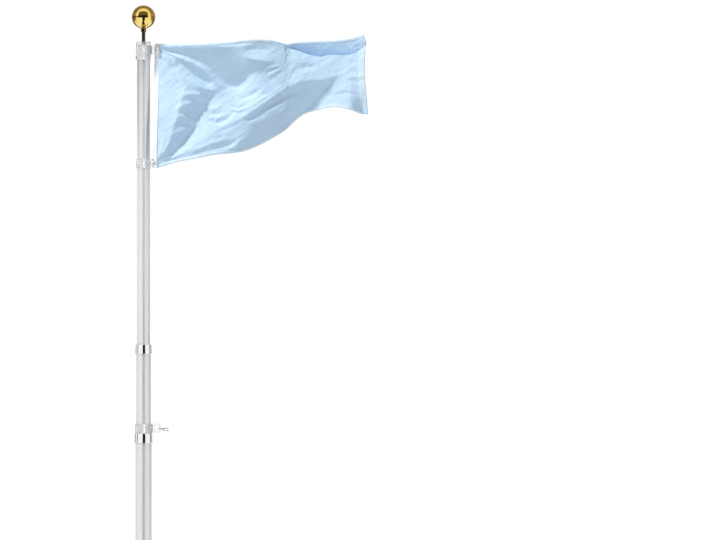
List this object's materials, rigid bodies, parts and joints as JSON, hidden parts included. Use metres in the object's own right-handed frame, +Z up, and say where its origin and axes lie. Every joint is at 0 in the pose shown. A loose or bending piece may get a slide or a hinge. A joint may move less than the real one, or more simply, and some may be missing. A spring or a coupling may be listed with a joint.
{
  "type": "telescoping flagpole with flag",
  "caption": "Telescoping aluminium flagpole with chrome collars, gold ball finial, swivelling plastic flag rings and a plain light blue flag, part-raised",
  "frame": {"origin": "centre of the pole's flat foot, at ground level", "axes": "+Z up along the pole, +X towards the flag's fly, +Y away from the side the picture shows"},
  "size_m": [0.7718, 0.122, 2.7034],
  "materials": {
    "anodised_tube": "satin silver anodised tube",
    "chrome_collar": "bright chrome",
    "gold": "polished gold-coloured ball",
    "dark_gold_stem": "darker satin gold",
    "clear_plastic": "milky translucent moulded plastic",
    "black_plastic": "black moulded plastic",
    "nylon": "white nylon",
    "steel": "bright stainless wire",
    "eyelet_brass": "nickel-washed brass",
    "header_tape": "white woven header tape",
    "flag_cloth": "light blue satin-woven polyester"
  },
  "bodies": {
    "base_section": {"tube_6": "anodised_tube", "collar_5": "chrome_collar", "foot_cap": "black_plastic"},
    "section_5": {"tube_5": "anodised_tube", "collar_4": "chrome_collar", "glide_sleeve_5": "nylon"},
    "section_4": {"tube_4": "anodised_tube", "collar_3": "chrome_collar", "glide_sleeve_4": "nylon"},
    "section_3": {"tube_3": "anodised_tube", "collar_2": "chrome_collar", "glide_sleeve_3": "nylon"},
    "section_2": {"tube_2": "anodised_tube", "collar_1": "chrome_collar", "glide_sleeve_2": "nylon"},
    "section_1": {"tube_1": "anodised_tube", "glide_sleeve_1": "nylon", "stop_band": "clear_plastic", "stop_screw": "steel", "top_cap": "clear_plastic", "finial_stem": "dark_gold_stem", "finial_ferrule": "gold", "ball_lower": "gold", "ball_upper": "gold"},
    "flag_hoist": {"flag_ring_upper": "clear_plastic", "clip_upper": "steel", "eyelet_upper": "eyelet_brass", "flag_header": "header_tape", "flag": "flag_cloth"},
    "lower_flag_ring": {"flag_ring_lower": "clear_plastic", "clip_lower": "steel", "eyelet_lower": "eyelet_brass"},
    "spare_ring": {"flag_ring_spare": "clear_plastic"},
    "spare_hook": {"snap_hook": "steel", "snap_hook_gate": "steel"}
  },
  "joints": [
    {"name": "raise_section_5", "type": "slide", "parent": "base_section", "child": "section_5", "axis": [0, 0, 1], "range_m": [0, 0.709]},
    {"name": "raise_section_4", "type": "slide", "parent": "section_5", "child": "section_4", "axis": [0, 0, 1], "range_m": [0, 0.744]},
    {"name": "raise_section_3", "type": "slide", "parent": "section_4", "child": "section_3", "axis": [0, 0, 1], "range_m": [-0.3445, 0.446]},
    {"name": "raise_section_2", "type": "slide", "parent": "section_3", "child": "section_2", "axis": [0, 0, 1], "range_m": [-0.228, 0.61]},
    {"name": "raise_section_1", "type": "slide", "parent": "section_2", "child": "section_1", "axis": [0, 0, 1], "range_m": [-0.8968, 0], "deforming": ["flag", "flag_header"]},
    {"name": "flag_swivel", "type": "hinge", "parent": "section_1", "child": "flag_hoist", "pos_m": [0, 0, 2.5577], "axis": [0, 0, 1], "continuous": true},
    {"name": "lower_ring_slide", "type": "slide", "parent": "flag_hoist", "child": "lower_flag_ring", "axis": [0, 0, 1], "range_m": [0, 0.324]},
    {"name": "spare_ring_swivel", "type": "hinge", "parent": "section_3", "child": "spare_ring", "pos_m": [0, 0, 1.3213], "axis": [0, 0, 1], "continuous": true},
    {"name": "snap_hook_swing", "type": "hinge", "parent": "spare_ring", "child": "spare_hook", "pos_m": [0.04345, 0, 1.3213], "axis": [0, 1, 0], "range_deg": [-98, 82]}
  ],
  "couplings": [
    {"joint": "lower_ring_slide", "follows": "raise_section_1", "ratio": -0.36006}
  ]
}
